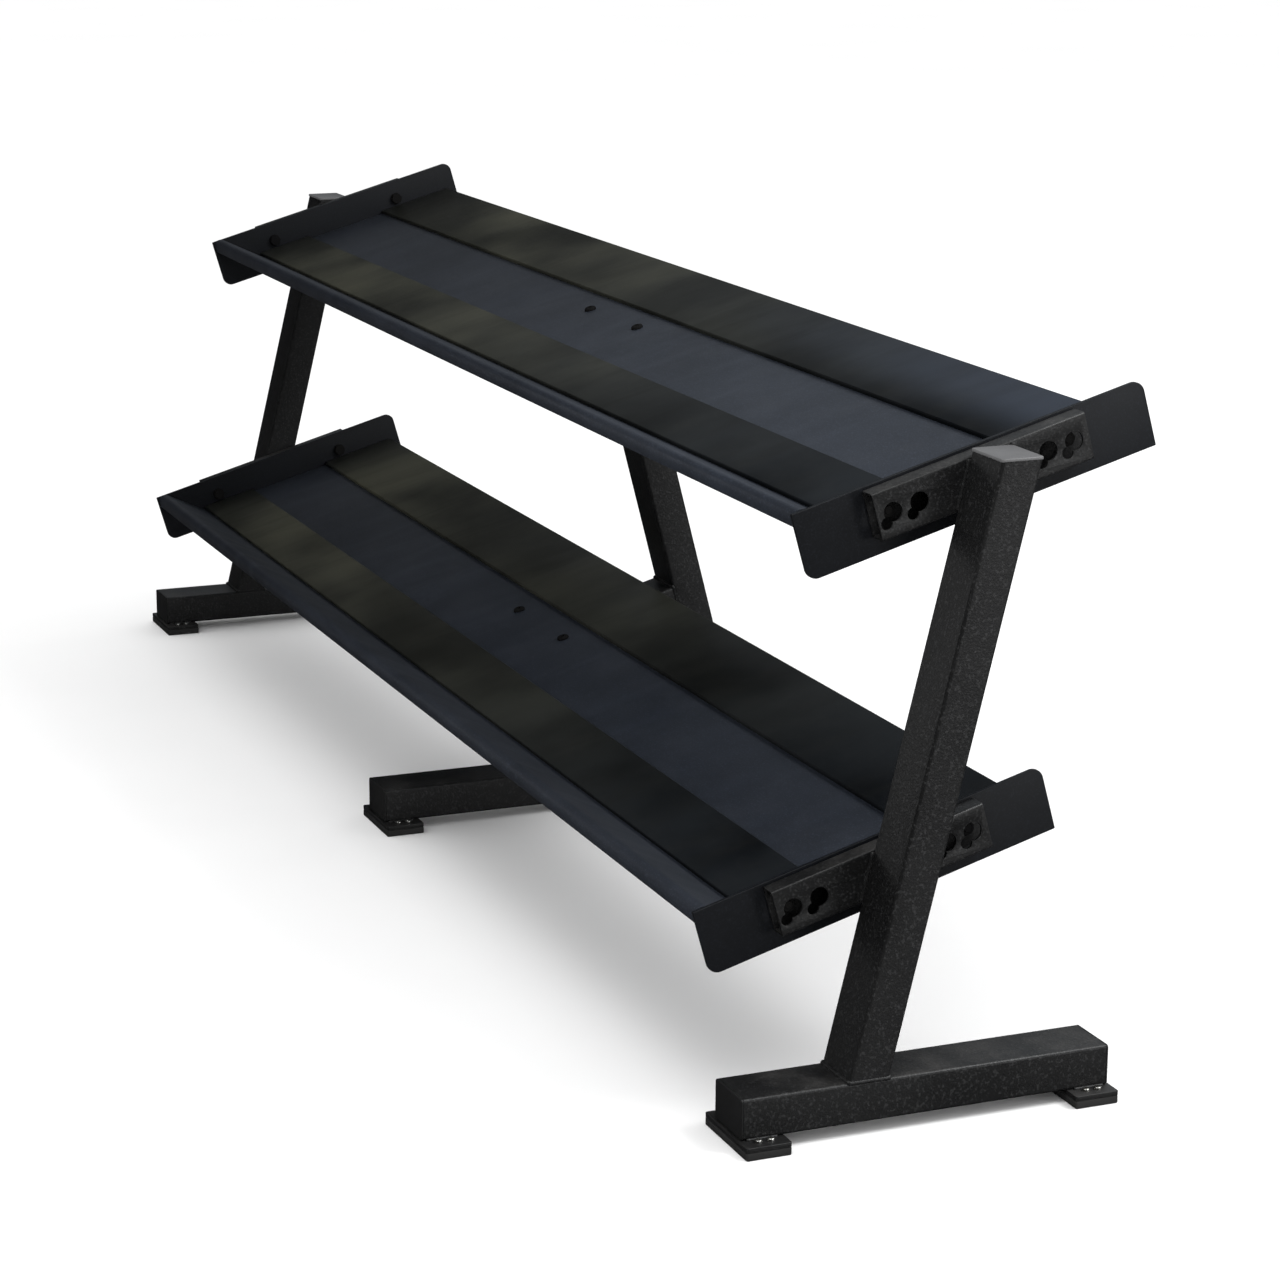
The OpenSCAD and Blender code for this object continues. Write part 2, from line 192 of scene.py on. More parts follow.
def smooth(piece, angle=32):
    only(piece)
    bpy.ops.object.shade_smooth_by_angle(angle=math.radians(angle))


def finish(piece, slot_name, *nodes, angle=32):
    """Gives a piece its finish, its body and the CAD nodes that it stands for."""
    smooth(piece, angle)
    piece.data.materials.clear()
    piece.data.materials.append(FINISHES[slot_name])
    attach(piece, "root")
    if nodes:
        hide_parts(*nodes)
    return piece


# ---- What the frame says ----

def points_of(node, axes=Matrix()):
    """A CAD node's points, as seen from some axes."""
    item = frame["nodes"][node]
    turn = axes.inverted() @ item.matrix_world
    return [turn @ v.co for v in item.data.vertices]


def span(points):
    low = Vector([min(p[i] for p in points) for i in range(3)])
    high = Vector([max(p[i] for p in points) for i in range(3)])
    return low, high


def box_in(node, axes):
    """A CAD node's lowest and highest corners, as seen from some axes."""
    return span(points_of(node, axes))


def solids_of(node, axes=Matrix()):
    """The box of each separate solid in a CAD node, as seen from some axes."""
    item = frame["nodes"][node]
    mesh = bmesh.new()
    mesh.from_mesh(item.data)
    mesh.transform(axes.inverted() @ item.matrix_world)
    bmesh.ops.remove_doubles(mesh, verts=mesh.verts, dist=1e-6)
    boxes = []
    left = set(mesh.verts)
    while left:
        group, ahead = [], [left.pop()]
        while ahead:
            vert = ahead.pop()
            group.append(vert.co.copy())
            for edge in vert.link_edges:
                other = edge.other_vert(vert)
                if other in left:
                    left.remove(other)
                    ahead.append(other)
        boxes.append(span(group))
    mesh.free()
    return sorted(boxes, key=lambda b: tuple(round(c, 4) for c in b[0]))


def lean_of(node):
    """How far a tube leans back, from the slope of its front face."""
    item = frame["nodes"][node]
    slope = Vector()
    for face in item.data.polygons:
        if face.normal.y < -0.9:
            slope += face.normal * face.area
    return math.atan2(slope.z, -slope.y)


def mount(name):
    return next(m for m in frame["record"]["mounts"] if m["name"] == name)


NORMAL = Vector(mount("upper_shelf")["axis"])
TILT = math.atan2(-NORMAL.y, NORMAL.z)


def tray_axes(tier):
    """Axes at the top front corner of a tray's end plates: x, up the slope, square to it."""
    turn = Matrix.Rotation(TILT, 4, "X")
    low, high = box_in(tier + "_right_end_plate", turn)
    return turn @ Matrix.Translation((0, low.y, high.z))


TRAYS = {tier: tray_axes(tier) for tier in ("upper", "lower")}


# ---- Finishes ----

def plug(tree, socket, value):
    """Fills a socket from a number, a colour or another node's output."""
    if isinstance(value, bpy.types.NodeSocket):
        tree.links.new(value, socket)
    elif socket.type == "RGBA":
        socket.default_value = (*value, 1.0)
    else:
        socket.default_value = value


def feed(tree, item, **values):
    """Fills a node's inputs by name, with _ where the name has a space."""
    for name, value in values.items():
        plug(tree, item.inputs[name.replace("_", " ")], value)


def add(tree, kind, **settings):
    """Adds a node. Capitalised names are its inputs, the others its properties."""
    item = tree.nodes.new(kind)
    for name, value in settings.items():
        if name[0].isupper():
            feed(tree, item, **{name: value})
        else:
            setattr(item, name, value)
    return item


def sums(tree, operation, first, second):
    """A Math node on two outputs or numbers. Returns its output."""
    item = add(tree, "ShaderNodeMath", operation=operation)
    plug(tree, item.inputs[0], first)
    plug(tree, item.inputs[1], second)
    return item.outputs[0]


def plus(tree, first, second):
    return sums(tree, "ADD", first, second)


def weigh(tree, mask, amount):
    return sums(tree, "MULTIPLY", mask, amount)


def ramp_between(tree, value, low, high, out_low=0.0, out_high=1.0):
    """Maps a value from one range to another, held at the ends."""
    item = add(
        tree, "ShaderNodeMapRange", clamp=True, interpolation_type="SMOOTHSTEP",
        Value=value, From_Min=low, From_Max=high, To_Min=out_low, To_Max=out_high,
    )
    return item.outputs["Result"]


def noise(tree, place, **settings):
    """Cloudy noise at a place. Returns its value."""
    return add(tree, "ShaderNodeTexNoise", Vector=place, **settings).outputs[0]


def split(tree, vector):
    """A vector's X, Y and Z outputs."""
    return add(tree, "ShaderNodeSeparateXYZ", Vector=vector).outputs


def new_group(name, outputs, **numbers):
    """A shader node group that takes a place and some numbers. Returns it, its inputs and its end."""
    tree = bpy.data.node_groups.new(name, "ShaderNodeTree")
    tree.interface.new_socket(name="Place", in_out="INPUT", socket_type="NodeSocketVector")
    for label, value in numbers.items():
        socket = tree.interface.new_socket(name=label, in_out="INPUT", socket_type="NodeSocketFloat")
        socket.default_value = value
    for label in outputs:
        tree.interface.new_socket(name=label, in_out="OUTPUT", socket_type="NodeSocketFloat")
    return tree, tree.nodes.new("NodeGroupInput").outputs, tree.nodes.new("NodeGroupOutput")


def powder_grain():
    """The pebbled skin of sprayed powder coat, with a slow drift in its tone."""
    tree, given, out = new_group("Powder grain", ["Height", "Speckle", "Drift"], Pebbles=700.0)
    place, scale = given["Place"], given["Pebbles"]
    pebbles = add(
        tree, "ShaderNodeTexVoronoi", feature="SMOOTH_F1", Vector=place, Scale=scale, Smoothness=0.6
    )
    flow = noise(tree, place, Scale=weigh(tree, scale, 0.45), Detail=3.0, Roughness=0.6)
    dots = noise(tree, place, Scale=weigh(tree, scale, 0.7), Detail=1.0)
    drift = noise(tree, place, Scale=5.0, Detail=4.0, Roughness=0.55)
    feed(
        tree, out, Height=plus(tree, weigh(tree, pebbles.outputs["Distance"], 0.6), flow),
        Speckle=ramp_between(tree, dots, 0.52, 0.74), Drift=ramp_between(tree, drift, 0.3, 0.7),
    )
    return tree


def worn_edges():
    """A mask on sharp outer edges, broken up, where paint is thin and rubbed."""
    tree, given, out = new_group("Worn edges", ["Mask"], Width=0.0012)
    soft = add(tree, "ShaderNodeBevel", samples=4, Radius=given["Width"])
    true = add(tree, "ShaderNodeNewGeometry")
    dot = add(tree, "ShaderNodeVectorMath", operation="DOT_PRODUCT")
    plug(tree, dot.inputs[0], soft.outputs["Normal"])
    plug(tree, dot.inputs[1], true.outputs["Normal"])
    edge = ramp_between(tree, sums(tree, "SUBTRACT", 1.0, dot.outputs["Value"]), 0.01, 0.12)
    chips = noise(tree, given["Place"], Scale=60.0, Detail=5.0, Roughness=0.65)
    feed(tree, out, Mask=weigh(tree, edge, ramp_between(tree, chips, 0.42, 0.66)))
    return tree


def painted_hollow_shade():
    """A mask of painted shade inside a piece's own hollows, where little light reaches."""
    tree, given, out = new_group("Painted hollow shade", ["Mask"], Reach=0.08)
    open_sky = add(
        tree, "ShaderNodeAmbientOcclusion", samples=4, only_local=True, Distance=given["Reach"]
    )
    mist = noise(tree, given["Place"], Scale=80.0, Detail=3.0)
    uneven = plus(tree, open_sky.outputs["AO"], weigh(tree, mist, 0.15))
    feed(tree, out, Mask=ramp_between(tree, uneven, 0.70, 0.38))
    return tree


def settled_dust():
    """A thin, uneven film on faces that look up."""
    tree, given, out = new_group("Settled dust", ["Mask"])
    way = split(tree, add(tree, "ShaderNodeNewGeometry").outputs["Normal"])
    up = ramp_between(tree, way["Z"], 0.6, 0.98)
    cloud = noise(tree, given["Place"], Scale=9.0, Detail=8.0, Roughness=0.7)
    feed(tree, out, Mask=weigh(tree, up, ramp_between(tree, cloud, 0.4, 0.75)))
    return tree


def shelf_rub():
    """Faint marks across the trays, front to back, where weights slide in and out."""
    tree, given, out = new_group("Shelf rub", ["Streaks", "Bloom"])
    place = given["Place"]
    squeeze = add(tree, "ShaderNodeMapping", vector_type="POINT", Vector=place, Scale=(16.0, 3.5, 3.5))
    marks = noise(tree, squeeze.outputs["Vector"], Scale=1.0, Detail=4.0, Distortion=0.6)
    cloud = noise(tree, place, Scale=2.6, Detail=3.0)
    feed(
        tree, out, Streaks=ramp_between(tree, marks, 0.38, 0.80), Bloom=ramp_between(tree, cloud, 0.36, 0.66)
    )
    return tree


GRAIN = powder_grain()
EDGES = worn_edges()
HOLLOW_SHADE = painted_hollow_shade()
DUST = settled_dust()
RUB = shelf_rub()
FINISHES = {}


def new_material(name):
    """Adds a finish. Returns its nodes, its shader and its Object coordinates."""
    material = bpy.data.materials.new(name)
    material.use_nodes = True
    FINISHES[name] = material
    tree = material.node_tree
    place = add(tree, "ShaderNodeTexCoord").outputs["Object"]
    return tree, tree.nodes["Principled BSDF"], place


def use(tree, group, place, **values):
    """Places a node group in a material. Returns its outputs."""
    return add(tree, "ShaderNodeGroup", node_tree=group, Place=place, **values).outputs


def blend(tree, factor, first, second):
    """Mixes two colours by a mask. Returns the colour."""
    item = add(tree, "ShaderNodeMix", data_type="RGBA")
    for index, value in ((0, factor), (6, first), (7, second)):
        plug(tree, item.inputs[index], value)
    return item.outputs[2]


def tint(tree, colour, mask, amount, over_tone):
    """Lays a tone over a colour by a mask, at some strength."""
    return blend(tree, weigh(tree, mask, amount), colour, over_tone)


def scaled(tone, factor):
    return tuple(min(1.0, factor * part) for part in tone)


def skin(tree, shader, grain, depth, strength, **values):
    """Fills a shader's inputs and gives it the relief of a grain."""
    relief = add(tree, "ShaderNodeBump", Distance=depth, Strength=strength, Height=grain["Height"])
    feed(tree, shader, Normal=relief.outputs["Normal"], **values)


def powder_coat(name, tone, light_tone, rough, pebbles=700.0, specks=0.25, wear=0.35, dust=0.05):
    """Textured black powder coat, a little worn on its edges and dusty on top, with painted shade in its own
    hollows.
    """
    tree, shader, place = new_material(name)
    grain = use(tree, GRAIN, place, Pebbles=pebbles)
    edges = use(tree, EDGES, place)["Mask"]
    film = use(tree, DUST, place)["Mask"]
    # inside: a mask of painted shade in the piece's own hollows
    inside = use(tree, HOLLOW_SHADE, place)["Mask"]
    colour = blend(tree, grain["Drift"], tone, light_tone)
    colour = tint(tree, colour, grain["Speckle"], specks, scaled(light_tone, 5.0))
    colour = tint(tree, colour, edges, wear, (0.075, 0.075, 0.078))
    colour = tint(tree, colour, film, dust, (0.20, 0.19, 0.18))
    # Painted shade: the piece's own hollows go near black.
    colour = blend(tree, inside, colour, (0.0010, 0.0010, 0.0010))
    tired = plus(tree, weigh(tree, grain["Drift"], 0.10), weigh(tree, film, 0.12))
    tired = plus(tree, tired, weigh(tree, inside, 0.55))
    skin(tree, shader, grain, 0.00040, 0.7, Base_Color=colour, Roughness=plus(tree, tired, rough))


def tray_coat(name, tone, light_tone, rough):
    """Satin blue-black coat with a fine sparkle of lighter grains."""
    tree, shader, place = new_material(name)
    grain = use(tree, GRAIN, place, Pebbles=620.0)
    rub = use(tree, RUB, place)
    edges = use(tree, EDGES, place)["Mask"]
    film = use(tree, DUST, place)["Mask"]
    colour = blend(tree, grain["Drift"], tone, light_tone)
    colour = tint(tree, colour, grain["Speckle"], 0.30, scaled(light_tone, 3.2))
    colour = tint(tree, colour, rub["Streaks"], 0.10, scaled(light_tone, 2.4))
    colour = tint(tree, colour, edges, 0.30, (0.085, 0.088, 0.095))
    colour = tint(tree, colour, film, 0.03, (0.17, 0.17, 0.18))
    worn = plus(tree, weigh(tree, rub["Streaks"], -0.05), weigh(tree, rub["Bloom"], 0.10))
    skin(
        tree, shader, grain, 0.00012, 0.4, Base_Color=colour, Roughness=plus(tree, worn, rough),
        Specular_IOR_Level=0.30,
    )


def liner_strip(name):
    """Dull dark strip with a pale painted reflection towards its left end and a bluish painted sheen at the
    right of the upper shelf, scuffed where the weights rest.
    """
    tree, shader, place = new_material(name)
    grain = use(tree, GRAIN, place, Pebbles=420.0)
    rub = use(tree, RUB, place)
    film = use(tree, DUST, place)["Mask"]
    at = split(tree, place)
    # Painted reflection: a pale olive sheen, strongest near the left end and fading out to the right.
    left_end = ramp_between(tree, at["X"], 1.1, -1.1)
    left_end = weigh(tree, left_end, ramp_between(tree, at["X"], -1.27, -1.02, 0.25, 1.0))
    painted_left_sheen = weigh(tree, left_end, plus(tree, weigh(tree, rub["Bloom"], 0.7), 0.3))
    # Painted sheen: a bluish reflection on the upper shelf's liners, growing towards the right end plate.
    upper_shelf = ramp_between(tree, at["Z"], 0.775, 0.80)
    painted_blue_sheen = weigh(tree, upper_shelf, ramp_between(tree, at["X"], 0.0, 1.3))
    colour = blend(tree, rub["Bloom"], (0.0024, 0.0030, 0.0038), (0.0100, 0.0118, 0.0140))
    colour = blend(tree, painted_left_sheen, colour, (0.056, 0.056, 0.040))
    colour = blend(tree, painted_blue_sheen, colour, (0.022, 0.027, 0.037))
    colour = tint(tree, colour, rub["Streaks"], 0.20, (0.016, 0.016, 0.014))
    colour = tint(tree, colour, film, 0.02, (0.16, 0.155, 0.14))
    worn = plus(tree, weigh(tree, rub["Streaks"], 0.10), weigh(tree, rub["Bloom"], 0.08))
    skin(
        tree, shader, grain, 0.00010, 0.22, Base_Color=colour, Roughness=plus(tree, worn, 0.30),
        Specular_IOR_Level=0.05,
    )


def pad_rubber(name):
    """Matt moulded rubber with a chalky bloom."""
    tree, shader, place = new_material(name)
    grain = use(tree, GRAIN, place, Pebbles=900.0)
    colour = blend(tree, grain["Drift"], (0.010, 0.010, 0.010), (0.019, 0.0185, 0.018))
    colour = tint(tree, colour, use(tree, DUST, place)["Mask"], 0.25, (0.12, 0.115, 0.11))
    rough = plus(tree, weigh(tree, grain["Drift"], 0.12), 0.72)
    skin(tree, shader, grain, 0.00025, 0.5, Base_Color=colour, Roughness=rough)


def moulded_plastic(name, tone, rough):
    """Fine-spark moulded plastic for the end caps."""
    tree, shader, place = new_material(name)
    grain = use(tree, GRAIN, place, Pebbles=1300.0)
    colour = blend(tree, grain["Drift"], tone, scaled(tone, 1.5))
    colour = tint(tree, colour, use(tree, DUST, place)["Mask"], 0.10, (0.22, 0.215, 0.21))
    rough = plus(tree, weigh(tree, grain["Drift"], 0.10), rough)
    skin(tree, shader, grain, 0.00008, 0.35, Base_Color=colour, Roughness=rough)


def plated_steel(name, tone, stain, rough, metal=1.0, gloss=0.5):
    """Plated or blackened fastener steel with faint turning marks and stains."""
    tree, shader, place = new_material(name)
    grain = use(tree, GRAIN, place, Pebbles=1500.0)
    edges = use(tree, EDGES, place, Width=0.0006)["Mask"]
    colour = blend(tree, grain["Drift"], tone, stain)
    colour = tint(tree, colour, edges, 0.5, scaled(tone, 1.4))
    rough = plus(tree, weigh(tree, grain["Speckle"], 0.15), rough)
    skin(
        tree, shader, grain, 0.00004, 0.4, Base_Color=colour, Roughness=rough, Metallic=metal,
        Specular_IOR_Level=gloss,
    )


powder_coat(
    "frame_paint", (0.0042, 0.0043, 0.0044), (0.0075, 0.0076, 0.0078), 0.40,
    pebbles=400.0, specks=0.40, wear=0.12, dust=0.14,
)
powder_coat("foot_plate_paint", (0.0050, 0.0050, 0.0051), (0.0085, 0.0085, 0.0085), 0.44, wear=0.5, dust=0.10)
tray_coat("tray_paint", (0.0120, 0.0150, 0.0215), (0.0160, 0.0198, 0.0280), 0.46)
tray_coat("end_plate_paint", (0.0030, 0.0038, 0.0054), (0.0042, 0.0052, 0.0074), 0.42)
liner_strip("liner_strip")
pad_rubber("pad_rubber")
moulded_plastic("foot_cap_plastic", (0.0055, 0.0056, 0.0057), 0.46)
# The upright caps' pale grey is partly their own tone and partly painted highlight, standing in for the
# bright overhead light that their tops mirror.
moulded_plastic("upright_cap_plastic", (0.075, 0.075, 0.077), 0.36)
plated_steel("zinc_hardware", (0.60, 0.60, 0.58), (0.48, 0.47, 0.43), 0.26)
plated_steel("black_bolt", (0.004, 0.004, 0.0045), (0.008, 0.0078, 0.0074), 0.70, metal=0.0, gloss=0.06)


# ---- Shapes that several pieces share ----

def block(name, size, spot):
    """A box of some size about a point."""
    piece = start(bpy.ops.mesh.primitive_cube_add, name, size=1)
    return set_down(piece, Matrix.Translation(spot) @ Matrix.Diagonal((*size, 1)))


def bar(name, sides, radius, length, z=0.0):
    """A round or many-sided bar that stands on a height."""
    piece = start(bpy.ops.mesh.primitive_cylinder_add, name, vertices=sides, radius=radius, depth=length)
    return set_down(piece, Matrix.Translation((0, 0, z + length / 2)))


def over(low, high, z):
    """The place over the middle of a box, at some height."""
    return Matrix.Translation(((low.x + high.x) / 2, (low.y + high.y) / 2, z))


def tipped(x, y, z, turn=-math.pi / 2):
    """A place turned about X. Without a turn given, what stood up now lies, its top to the back."""
    return Matrix.Translation((x, y, z)) @ Matrix.Rotation(turn, 4, "X")


def slab(name, size, corner, edge, corner_segments=8, edge_segments=3):
    """A flat plate standing on z = 0 and centred on it, with round corners and softened rims."""
    piece = block(name, size, (0, 0, size[2] / 2))
    edit(piece)
    round_off(piece, along(2), corner, corner_segments)
    round_off(piece, rim(2), edge, edge_segments)
    leave()
    return piece


def rod(name, width, depth, length, corner):
    """A rectangular bar along z, standing on z = 0, with its four long edges rounded."""
    piece = block(name, (width, depth, length), (0, 0, length / 2))
    edit(piece)
    round_off(piece, along(2), corner, 7)
    leave()
    return piece


def trim(piece, point, outward):
    """Cuts a piece off flat at a point and closes it. What lies outward of the cut goes."""
    edit(piece)
    bpy.ops.mesh.select_all(action="SELECT")
    bpy.ops.mesh.bisect(plane_co=point, plane_no=outward, use_fill=True, clear_outer=True)
    leave()


def weld_bead(name, a, b, radius=WELD):
    """A rippled bead of weld from a to b, with rounded ends."""
    a, b = Vector(a), Vector(b)
    length = (b - a).length
    ripples = max(4, round(length / RIPPLE))
    piece = start(bpy.ops.mesh.primitive_cylinder_add, name, vertices=10, radius=radius, depth=length)
    edit(piece)
    pick(piece, "EDGE", along(2))
    bpy.ops.mesh.subdivide(number_cuts=2 * ripples - 1)
    step = length / (2 * ripples)
    pick(piece, "VERT", lambda v: round((v.co.z + length / 2) / step) % 2 == 1)
    bpy.ops.transform.resize(value=(0.90, 0.90, 1))
    pick(piece, "FACE", lambda f: abs(f.normal.z) > 0.9)
    bpy.ops.mesh.extrude_region_shrink_fatten(TRANSFORM_OT_shrink_fatten={"value": 0.4 * radius})
    bpy.ops.transform.resize(value=(0.6, 0.6, 1))
    leave()
    turn = (b - a).to_track_quat("Z", "Y").to_matrix().to_4x4()
    return set_down(piece, Matrix.Translation((a + b) / 2) @ turn)


def welded(name, beads):
    return finish(joined(name, beads), "frame_paint", angle=60)


def weld_ring(name, half, near, far):
    """Beads round a tube's end, from the middles of its front and back edges and half its width."""
    across = Vector((half, 0, 0))
    corners = [near - across, near + across, far + across, far - across]
    ways = zip(corners, corners[1:] + corners[:1])
    return welded(name, [weld_bead(name, here, ahead) for here, ahead in ways])


# ---- Frames ----

def foot(side):
    """A foot tube lying front to back, its two end caps, plates and pads."""
    low, high = map(Vector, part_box(side + "_foot"))
    size = high - low
    piece = rod(side + "_foot_tube", size.x, size.z, size.y, TUBE_CORNER)
    place = tipped((low.x + high.x) / 2, low.y, (low.z + high.z) / 2)
    finish(set_down(piece, place), "frame_paint", side + "_foot")
    for end, way in (("front", -1), ("back", 1)):
        foot_end_cap(side, end, way)
        foot_plate_and_pad(side, end, way, size.x)


def foot_end_cap(side, end, way):
    """A pressed cap on one end of a foot tube."""
    node = f"{side}_foot_{end}_cap"
    low, high = map(Vector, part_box(node))
    tube_low, tube_high = map(Vector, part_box(side + "_foot"))
    inner = tube_low.y if way < 0 else tube_high.y
    outer = low.y if way < 0 else high.y
    size = (high.x - low.x, high.z - low.z, abs(outer - inner))
    piece = slab(node + "_moulding", size, TUBE_CORNER, 0.0011, 7)
    place = tipped((low.x + high.x) / 2, inner, (low.z + high.z) / 2, -way * math.pi / 2)
    finish(set_down(piece, place), "foot_cap_plastic", node)


def foot_plate_and_pad(side, end, way, tube_width):
    """A steel plate under one end of a foot, its rubber pad and the beads that weld it on."""
    plate, pad = f"{side}_{end}_foot_plate", f"{side}_{end}_pad"
    for node, slot_name, edge in ((plate, "foot_plate_paint", 0.0007), (pad, "pad_rubber", 0.0016)):
        low, high = map(Vector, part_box(node))
        piece = slab(node + "_slab", high - low, 0.003, edge)
        finish(set_down(piece, over(low, high, low.z)), slot_name, node)
    low, high = map(Vector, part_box(plate))
    x_mid = (low.x + high.x) / 2
    inner_y = high.y if way < 0 else low.y
    side_end, cross_half = 0.010, 0.028
    beads = []
    for x in (x_mid - tube_width / 2, x_mid + tube_width / 2):
        ends = (x, low.y + side_end, high.z), (x, high.y - side_end, high.z)
        beads.append(weld_bead("plate_weld", *ends, 0.0026))
    ends = (x_mid - cross_half, inner_y, high.z), (x_mid + cross_half, inner_y, high.z)
    beads.append(weld_bead("plate_weld", *ends, 0.0022))
    welded(plate + "_weld", beads)


def tube_depth(side):
    """Depth of a leaning tube, which is the height of the foot that it stands on."""
    low, high = map(Vector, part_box(side + "_foot"))
    return high.z - low.z


def leaning_tube(node, front, width, depth, lean):
    """A tube that leans back from the middle of its front bottom edge. Its top is still to be cut."""
    low, high = map(Vector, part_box(node))
    length = (high.z - low.z) / math.cos(lean) + 2 * SPARE
    piece = rod(node + "_tube", width, depth, length, TUBE_CORNER)
    place = tipped(front.x, front.y + depth / math.cos(lean) / 2, front.z, -lean)
    set_down(piece, place @ Matrix.Translation((0, 0, -SPARE)))
    trim(piece, front, (0, 0, -1))
    return piece


def base_weld(node, front, width, depth, lean):
    """Beads round the foot of a leaning tube."""
    back = front + Vector((0, depth / math.cos(lean), 0))
    weld_ring(node + "_base_weld", width / 2 - WELD_INSET, front, back)


def upright(side):
    """A leaning tube on an end foot, its cap and the weld at its base."""
    node = side + "_upright"
    low, high = map(Vector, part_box(node))
    lean, depth, width = lean_of(node), tube_depth(side), high.x - low.x
    front = Vector(((low.x + high.x) / 2, low.y, low.z))
    piece = leaning_tube(node, front, width, depth, lean)
    trim(piece, high, (0, 0, 1))
    finish(piece, "frame_paint", node)
    cap_low, cap_high = map(Vector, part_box(node + "_cap"))
    cap = slab(node + "_cap_moulding", cap_high - cap_low, TUBE_CORNER, 0.0014, 7, 4)
    finish(set_down(cap, over(cap_low, cap_high, cap_low.z)), "upright_cap_plastic", node + "_cap")
    base_weld(node, front, width, depth, lean)


def middle_frame():
    """The post that leans forward to the upper tray, the arm under the lower one, and their saddles."""
    node, axes = "middle_post", TRAYS["upper"]
    low, high = map(Vector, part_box(node))
    lean, depth, width = lean_of(node), tube_depth("middle"), high.x - low.x
    front = Vector((0, min(p.y for p in points_of(node) if p.z < low.z + 1e-4), low.z))
    post = leaning_tube(node, front, width, depth, lean)
    under = box_in("upper_saddle", axes)[0].z
    trim(post, axes @ Vector((0, 0, under)), NORMAL)
    finish(post, "frame_paint", node)
    base_weld(node, front, width, depth, lean)
    top = [p.y for p in points_of(node, axes) if p.z > under - 1e-4]
    near, far = (axes @ Vector((0, t, under)) for t in (min(top), max(top)))
    weld_ring("middle_post_top_weld", width / 2, near, far)
    arm(width, depth, lean, front)
    for tier in ("upper", "lower"):
        saddle(tier)


def meeting(axes, n, lean, point):
    """Where a line up a tray's slope, n square to it, meets a leaning face through a point."""
    spot = axes @ Vector((0, 0, n))
    ahead = axes.to_3x3() @ Vector((0, 1, 0))
    square = Vector((0, math.cos(lean), -math.sin(lean)))
    return spot + ahead * ((point - spot).dot(square) / ahead.dot(square))


def arm(width, depth, lean, post_foot):
    """The arm that runs forward from the post, below the lower tray."""
    axes = TRAYS["lower"]
    low, high = box_in("middle_arm", axes)
    z_mid = (low.z + high.z) / 2
    piece = rod("middle_arm_tube", width, depth, high.y - low.y + SPARE, TUBE_CORNER)
    set_down(piece, axes @ tipped(0, low.y, z_mid))
    trim(piece, post_foot, (0, math.cos(lean), -math.sin(lean)))
    finish(piece, "frame_paint", "middle_arm")
    cap_low, cap_high = box_in("middle_arm_cap", axes)
    cap = slab("middle_arm_cap_moulding", (width, depth, cap_high.y - cap_low.y), TUBE_CORNER, 0.0011, 7)
    set_down(cap, axes @ tipped(0, cap_high.y, z_mid, math.pi / 2))
    finish(cap, "foot_cap_plastic", "middle_arm_cap")
    near, far = (meeting(axes, n, lean, post_foot) for n in (low.z, high.z))
    weld_ring("middle_arm_weld", width / 2 - WELD_INSET, near, far)


def saddle(tier):
    """A plate under a tray, welded on the post or the arm."""
    axes = TRAYS[tier]
    node = tier + "_saddle"
    low, high = box_in(node, axes)
    piece = slab(node + "_plate", high - low, 0.006, 0.0008)
    finish(set_down(piece, axes @ Matrix.Translation((0, (low.y + high.y) / 2, low.z))), "frame_paint", node)


# ---- Trays ----

def tray(tier):
    """A long folded sheet: front flange, round lip, ramp, floor and back flange."""
    axes = TRAYS[tier]
    node = tier + "_tray"
    low, high = box_in(node, axes)
    floor_top = box_in(tier + "_front_liner", axes)[0].z
    ramp_foot = box_in(tier + "_front_liner", axes)[0].y - LINER_GAP - 0.001
    half = SHEET / 2
    flange = min(p.z for p in points_of(node, axes) if p.y < low.y + 0.001)
    peak = high.z + LIP_PEAK
    path = [
        Vector((0, low.y + half, flange)), Vector((0, low.y + half, peak)),
        Vector((0, ramp_foot, floor_top - half)), Vector((0, high.y - half, floor_top - half)),
        Vector((0, high.y - half, low.z)),
    ]
    length = high.x - low.x
    piece = start(bpy.ops.mesh.primitive_plane_add, node + "_sheet", size=1)
    stand = Matrix.Translation((path[0] + path[1]) / 2) @ Matrix.Rotation(math.pi / 2, 4, "X")
    set_down(piece, stand @ Matrix.Diagonal((length, (path[1] - path[0]).length, 1, 1)))
    edit(piece)
    for here, ahead in zip(path[1:], path[2:]):
        pick(piece, "EDGE", lambda e: (middle(e) - here).length < 1e-4)
        bpy.ops.mesh.extrude_region_move(TRANSFORM_OT_translate={"value": ahead - here})
    for corner, bend_radius, segments in zip(path[1:4], (LIP_RADIUS, FLOOR_BEND, BACK_BEND), (18, 5, 8)):
        index = path.index(corner)
        before, after = corner - path[index - 1], path[index + 1] - corner
        setback = bend_radius * math.tan(before.angle(after) / 2)
        round_off(piece, lambda e: (middle(e) - corner).length < 1e-4, setback, segments)
    bpy.ops.mesh.select_all(action="SELECT")
    bpy.ops.mesh.normals_make_consistent(inside=False)
    leave()
    modify(piece, "SOLIDIFY", thickness=SHEET, offset=0.0, use_even_offset=True)
    modify(piece, "BEVEL", width=0.0004, segments=2, limit_method="ANGLE", angle_limit=math.radians(60))
    finish(set_down(piece, axes), "tray_paint", node, angle=40)


def liner(tier, row):
    """A wear strip stuck on the tray floor."""
    axes = TRAYS[tier]
    node = f"{tier}_{row}_liner"
    low, high = box_in(node, axes)
    piece = block(node + "_strip", high - low, (low + high) / 2)
    edit(piece)
    round_off(piece, lambda e: along(0)(e) and middle(e).z > high.z - 1e-5, 0.002, 5)
    round_off(piece, rim(0), 0.0007, 2)
    leave()
    finish(set_down(piece, axes), "liner_strip", node)


